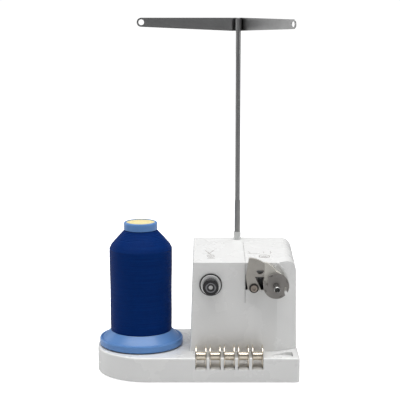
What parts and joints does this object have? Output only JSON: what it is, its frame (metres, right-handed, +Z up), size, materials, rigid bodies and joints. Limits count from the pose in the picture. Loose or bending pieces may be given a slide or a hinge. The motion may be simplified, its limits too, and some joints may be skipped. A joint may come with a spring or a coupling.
{
  "type": "electric bobbin winder",
  "caption": "Free-standing electric bobbin winder: rounded base, sloped housing, winder arm with spindle, pretension knob, telescopic thread guide, thread spool and a bobbin rack.",
  "frame": {"origin": "centre of the base's plan outline, on the underside of the bottom cover", "axes": "+X to the right seen from the front, +Y to the rear, +Z up along the thread stand"},
  "size_m": [0.1842, 0.1014, 0.3227],
  "materials": {
    "shell_white": "gloss moulded",
    "cover_grey": "fine matt",
    "feet_rubber": "matt",
    "screw_steel": "zinc plated",
    "blade_steel": "ground",
    "socket_grey": "smooth",
    "rod_steel": "satin",
    "bar_steel": "satin",
    "pin_plastic": "smooth",
    "felt": "pressed felt",
    "spool_blue": "gloss moulded",
    "thread_navy": "wound thread",
    "label_paper": "plain paper",
    "lever_cast": "satin cast",
    "arm_cast": "satin cast",
    "turned_steel": "turned",
    "washer_dark": "blackened",
    "spring_steel": "bright wire",
    "bronze": "sintered",
    "seat_steel": "satin",
    "wheel_plastic": "smooth",
    "tyre_rubber": "ground rubber",
    "bracket_steel": "zinc plated sheet",
    "motor_steel": "plated",
    "roller_brass": "turned",
    "switch_black": "moulded",
    "plunger_red": "moulded",
    "knob_black": "gloss",
    "disc_chrome": "polished",
    "board_green": "solder mask",
    "bobbin_nickel": "nickel plated"
  },
  "bodies": {
    "stand": {"base_shell": "shell_white", "housing_shell": "shell_white", "bottom_cover": "cover_grey", "rubber_feet": "feet_rubber", "bottom_screws": "screw_steel", "housing_screws": "screw_steel", "thread_cutter": "blade_steel", "rod_socket": "socket_grey", "spool_pin": "pin_plastic", "spool_pin_screw": "screw_steel", "spool_felt": "felt", "pivot_post": "turned_steel", "pivot_washer": "washer_dark", "pivot_screw": "screw_steel", "lever_spring": "spring_steel", "mechanism_bracket": "bracket_steel", "bracket_screws": "screw_steel", "motor_can": "motor_steel", "motor_screws": "screw_steel", "switch_body": "switch_black", "tension_escutcheon": "knob_black", "rear_tension_disc": "disc_chrome", "front_tension_disc": "disc_chrome", "pressure_washer": "disc_chrome", "tension_spring": "spring_steel", "tension_stud": "turned_steel", "tension_nut": "screw_steel", "dc_jack": "switch_black", "jack_nut": "screw_steel", "circuit_board": "board_green"},
    "arm": {"winder_lever": "lever_cast", "spindle_arm": "arm_cast", "arm_link": "arm_cast", "arm_shield": "shell_white", "lever_stud": "screw_steel", "spindle_bushes": "bronze"},
    "spindle": {"spindle_shaft": "turned_steel", "bobbin_seat": "seat_steel", "friction_wheel": "wheel_plastic", "wheel_tyre": "tyre_rubber", "spindle_clip": "spring_steel"},
    "rotor": {"motor_shaft": "turned_steel", "drive_roller": "roller_brass"},
    "plunger": {"switch_plunger": "plunger_red"},
    "washer": {"stop_washer": "disc_chrome"},
    "knob": {"tension_knob": "knob_black"},
    "tube": {"lower_tube": "rod_steel"},
    "rod": {"upper_rod": "rod_steel"},
    "bar": {"guide_bar": "bar_steel", "bar_collar": "bar_steel"},
    "spool": {"spool_core": "spool_blue", "thread_winding": "thread_navy", "spool_label": "label_paper"},
    "bobbin_1_body": {"bobbin_1": "bobbin_nickel"},
    "bobbin_2_body": {"bobbin_2": "bobbin_nickel"},
    "bobbin_3_body": {"bobbin_3": "bobbin_nickel"},
    "bobbin_4_body": {"bobbin_4": "bobbin_nickel"},
    "bobbin_5_body": {"bobbin_5": "bobbin_nickel"}
  },
  "joints": [
    {"name": "tube_slide", "type": "slide", "parent": "stand", "child": "tube", "axis": [0, 0, 1], "range_m": [-0.028, 0]},
    {"name": "rod_slide", "type": "slide", "parent": "tube", "child": "rod", "axis": [0, 0, 1], "range_m": [-0.09, 0]},
    {"name": "bar_swivel", "type": "hinge", "parent": "rod", "child": "bar", "pos_m": [0.03815, 0.0424, 0.3155], "axis": [0, 0, 1], "range_deg": [-90, 90]},
    {"name": "arm_tilt", "type": "hinge", "parent": "stand", "child": "arm", "pos_m": [0.05105, -0.03385, 0.0832], "axis": [0, -1, 0], "range_deg": [0, 6]},
    {"name": "spindle_spin", "type": "hinge", "parent": "arm", "child": "spindle", "pos_m": [0.07085, -0.03715, 0.0857], "axis": [0, 1, 0], "continuous": true},
    {"name": "motor_spin", "type": "hinge", "parent": "stand", "child": "rotor", "pos_m": [0.07258, -0.01455, 0.07197], "axis": [0, 1, 0], "continuous": true},
    {"name": "switch_press", "type": "slide", "parent": "stand", "child": "plunger", "axis": [-1, 0, 0], "range_m": [0, 0.0016]},
    {"name": "knob_turn", "type": "hinge", "parent": "washer", "child": "knob", "pos_m": [0.01225, -0.03915, 0.0849], "axis": [0, 1, 0], "range_deg": [-360, 360]},
    {"name": "washer_travel", "type": "slide", "parent": "stand", "child": "washer", "axis": [0, 1, 0], "range_m": [-0.0007, 0.0007], "deforming": ["tension_spring"]},
    {"name": "spool_lift", "type": "slide", "parent": "stand", "child": "spool", "axis": [0, 0, 1], "range_m": [0, 0.086]},
    {"name": "bobbin_1_lift", "type": "slide", "parent": "stand", "child": "bobbin_1_body", "axis": [0, 0, 1], "range_m": [0, 0.025]},
    {"name": "bobbin_2_lift", "type": "slide", "parent": "stand", "child": "bobbin_2_body", "axis": [0, 0, 1], "range_m": [0, 0.025]},
    {"name": "bobbin_3_lift", "type": "slide", "parent": "stand", "child": "bobbin_3_body", "axis": [0, 0, 1], "range_m": [0, 0.025]},
    {"name": "bobbin_4_lift", "type": "slide", "parent": "stand", "child": "bobbin_4_body", "axis": [0, 0, 1], "range_m": [0, 0.025]},
    {"name": "bobbin_5_lift", "type": "slide", "parent": "stand", "child": "bobbin_5_body", "axis": [0, 0, 1], "range_m": [0, 0.025]}
  ],
  "couplings": [
    {"joint": "motor_spin", "follows": "spindle_spin", "ratio": -2.0667},
    {"joint": "switch_press", "follows": "arm_tilt", "m_per_rad": 0.013575},
    {"joint": "knob_turn", "follows": "washer_travel", "rad_per_m": 8976}
  ]
}
